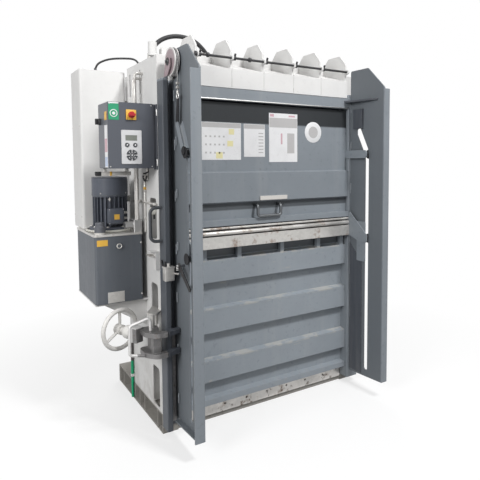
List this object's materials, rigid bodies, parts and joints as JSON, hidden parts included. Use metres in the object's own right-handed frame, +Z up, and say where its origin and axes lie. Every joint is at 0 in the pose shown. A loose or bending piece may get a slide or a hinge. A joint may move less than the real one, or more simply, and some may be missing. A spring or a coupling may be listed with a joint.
{
  "type": "recycling baler",
  "caption": "Upright press for waste card and film, with a swinging front door, a sliding filling flap between guide fins, a hydraulic ram, a side tank with motor and a control cabinet.",
  "frame": {"origin": "on the floor under the middle of the chamber, on the underside of the base's middle cross member", "axes": "+X to the right seen from the front, +Y to the back, +Z up; the door's fins point to -Y"},
  "size_m": [1.73, 1.245, 2.2897],
  "materials": {
    "grey_paint": "satin",
    "cabinet_grey": "satin",
    "white_paint": "satin",
    "galvanised": "zinc coated, worn",
    "dark_paint": "worn",
    "wheel_paint": "satin",
    "motor_blue": "satin",
    "steel": "ground",
    "cast": "rough",
    "black_rubber": "matt",
    "rope_steel": "wire",
    "black_plastic": "matt"
  },
  "bodies": {
    "frame": {"base_frame": "white_paint", "floor_plate": "galvanised", "side_frame_left": "white_paint", "side_frame_right": "white_paint", "rear_wall": "white_paint", "head_frame": "white_paint", "head_panel": "white_paint", "cylinder_barrel": "cast", "door_hinges": "white_paint", "lock_bracket": "white_paint", "oil_tank": "grey_paint", "tank_lid": "grey_paint", "motor_body": "motor_blue", "fan_cowl": "motor_blue", "valve_block": "galvanised", "oil_pipes": "galvanised", "hydraulic_hose": "black_rubber", "cover_cable": "black_rubber", "pipe_cover": "white_paint", "cabinet_box": "grey_paint", "side_brackets": "white_paint", "stowed_rod": "steel"},
    "tape_bar": {"tape_shaft": "dark_paint"},
    "rotor": {"motor_rotor": "steel"},
    "stage_outer": {"cylinder_stage_outer": "steel"},
    "stage_inner": {"cylinder_stage_inner": "steel"},
    "press_ram": {"ram": "cast", "cylinder_plunger": "steel"},
    "door": {"door_frame": "grey_paint", "door_panel": "grey_paint", "fin_left": "grey_paint", "fin_right": "grey_paint", "fin_fittings": "grey_paint", "grab_handle": "grey_paint", "rope_front": "rope_steel", "rope_rear": "rope_steel"},
    "release": {"release_lever": "dark_paint"},
    "flap": {"flap_panel": "grey_paint", "flap_handle": "dark_paint", "flap_bars": "galvanised", "flap_brackets": "grey_paint"},
    "pulley": {"rope_pulley": "cast"},
    "weight": {"counterweight": "dark_paint"},
    "hooks": {"hook_plates": "dark_paint"},
    "lock_wheel": {"lock_spindle": "galvanised", "handwheel": "wheel_paint"},
    "cabinet_leaf": {"cabinet_door": "cabinet_grey", "keypad": "black_plastic"},
    "main_switch": {"switch_knob": "black_plastic"},
    "roller_1": {"flap_roller_1": "black_plastic"},
    "roller_2": {"flap_roller_2": "black_plastic"},
    "roller_3": {"flap_roller_3": "black_plastic"},
    "roller_4": {"flap_roller_4": "black_plastic"},
    "button_1": {"key_1": "black_plastic"},
    "button_2": {"key_2": "black_plastic"},
    "button_3": {"key_3": "black_plastic"},
    "button_4": {"key_4": "black_plastic"},
    "button_5": {"key_5": "black_plastic"},
    "button_6": {"key_6": "black_plastic"},
    "button_7": {"key_7": "black_plastic"}
  },
  "joints": [
    {"name": "door_swing", "type": "hinge", "parent": "frame", "child": "door", "pos_m": [0.715, -0.4115, 1], "axis": [0, 0, 1], "range_deg": [0, 120]},
    {"name": "flap_slide", "type": "slide", "parent": "door", "child": "flap", "axis": [0, 0, -1], "range_m": [0, 0.65], "deforming": ["rope_front"]},
    {"name": "counterweight_slide", "type": "slide", "parent": "door", "child": "weight", "axis": [0, 0, 1], "range_m": [0, 0.65], "deforming": ["rope_rear"]},
    {"name": "pulley_spin", "type": "hinge", "parent": "door", "child": "pulley", "pos_m": [-0.643, -0.49, 2.058], "axis": [1, 0, 0], "continuous": true},
    {"name": "roller_1_spin", "type": "hinge", "parent": "flap", "child": "roller_1", "pos_m": [-0.6226, -0.63, 1.03], "axis": [1, 0, 0], "continuous": true},
    {"name": "roller_2_spin", "type": "hinge", "parent": "flap", "child": "roller_2", "pos_m": [-0.6226, -0.63, 1.58], "axis": [1, 0, 0], "continuous": true},
    {"name": "roller_3_spin", "type": "hinge", "parent": "flap", "child": "roller_3", "pos_m": [0.6226, -0.63, 1.03], "axis": [1, 0, 0], "continuous": true},
    {"name": "roller_4_spin", "type": "hinge", "parent": "flap", "child": "roller_4", "pos_m": [0.6226, -0.63, 1.58], "axis": [1, 0, 0], "continuous": true},
    {"name": "stage_outer_slide", "type": "slide", "parent": "frame", "child": "stage_outer", "axis": [0, 0, -1], "range_m": [0, 0.3]},
    {"name": "stage_inner_slide", "type": "slide", "parent": "stage_outer", "child": "stage_inner", "axis": [0, 0, -1], "range_m": [0, 0.3]},
    {"name": "ram_slide", "type": "slide", "parent": "stage_inner", "child": "press_ram", "axis": [0, 0, -1], "range_m": [0, 0.3]},
    {"name": "hook_swing", "type": "hinge", "parent": "frame", "child": "hooks", "pos_m": [-0.745, -0.4, 0.6], "axis": [0, 0, -1], "range_deg": [0, 15]},
    {"name": "lock_wheel_spin", "type": "hinge", "parent": "hooks", "child": "lock_wheel", "pos_m": [-0.88, -0.25, 0.6], "axis": [-0.3584, 0.9336, 0], "continuous": true},
    {"name": "cabinet_door_swing", "type": "hinge", "parent": "frame", "child": "cabinet_leaf", "pos_m": [-0.705, -0.3715, 1.67], "axis": [0, 0, 1], "range_deg": [0, 75]},
    {"name": "main_switch_turn", "type": "hinge", "parent": "cabinet_leaf", "child": "main_switch", "pos_m": [-0.832, -0.39, 1.781], "axis": [0, 1, 0], "range_deg": [0, 90]},
    {"name": "button_1_press", "type": "slide", "parent": "cabinet_leaf", "child": "button_1", "axis": [0, 1, 0], "range_m": [0, 0.001], "stiffness_N_per_m": 500},
    {"name": "button_2_press", "type": "slide", "parent": "cabinet_leaf", "child": "button_2", "axis": [0, 1, 0], "range_m": [0, 0.001], "stiffness_N_per_m": 500},
    {"name": "button_3_press", "type": "slide", "parent": "cabinet_leaf", "child": "button_3", "axis": [0, 1, 0], "range_m": [0, 0.001], "stiffness_N_per_m": 500},
    {"name": "button_4_press", "type": "slide", "parent": "cabinet_leaf", "child": "button_4", "axis": [0, 1, 0], "range_m": [0, 0.001], "stiffness_N_per_m": 500},
    {"name": "button_5_press", "type": "slide", "parent": "cabinet_leaf", "child": "button_5", "axis": [0, 1, 0], "range_m": [0, 0.001], "stiffness_N_per_m": 500},
    {"name": "button_6_press", "type": "slide", "parent": "cabinet_leaf", "child": "button_6", "axis": [0, 1, 0], "range_m": [0, 0.001], "stiffness_N_per_m": 500},
    {"name": "button_7_press", "type": "slide", "parent": "cabinet_leaf", "child": "button_7", "axis": [0, 1, 0], "range_m": [0, 0.001], "stiffness_N_per_m": 500},
    {"name": "rotor_spin", "type": "hinge", "parent": "frame", "child": "rotor", "pos_m": [-0.848, 0.01, 1.38], "axis": [0, 0, 1], "continuous": true},
    {"name": "tape_bar_turn", "type": "hinge", "parent": "frame", "child": "tape_bar", "pos_m": [0, -0.46, 2.125], "axis": [1, 0, 0], "range_deg": [-20, 20]},
    {"name": "release_lever_tip", "type": "hinge", "parent": "door", "child": "release", "pos_m": [-0.649, -0.562, 0.985], "axis": [1, 0, 0], "range_deg": [-20, 20]}
  ],
  "couplings": [
    {"joint": "counterweight_slide", "follows": "flap_slide", "ratio": 1},
    {"joint": "pulley_spin", "follows": "flap_slide", "rad_per_m": 13.889},
    {"joint": "roller_1_spin", "follows": "flap_slide", "rad_per_m": 58.139},
    {"joint": "roller_2_spin", "follows": "flap_slide", "rad_per_m": 58.139},
    {"joint": "roller_3_spin", "follows": "flap_slide", "rad_per_m": 58.139},
    {"joint": "roller_4_spin", "follows": "flap_slide", "rad_per_m": 58.139},
    {"joint": "stage_outer_slide", "follows": "ram_slide", "ratio": 1},
    {"joint": "stage_inner_slide", "follows": "ram_slide", "ratio": 1}
  ]
}
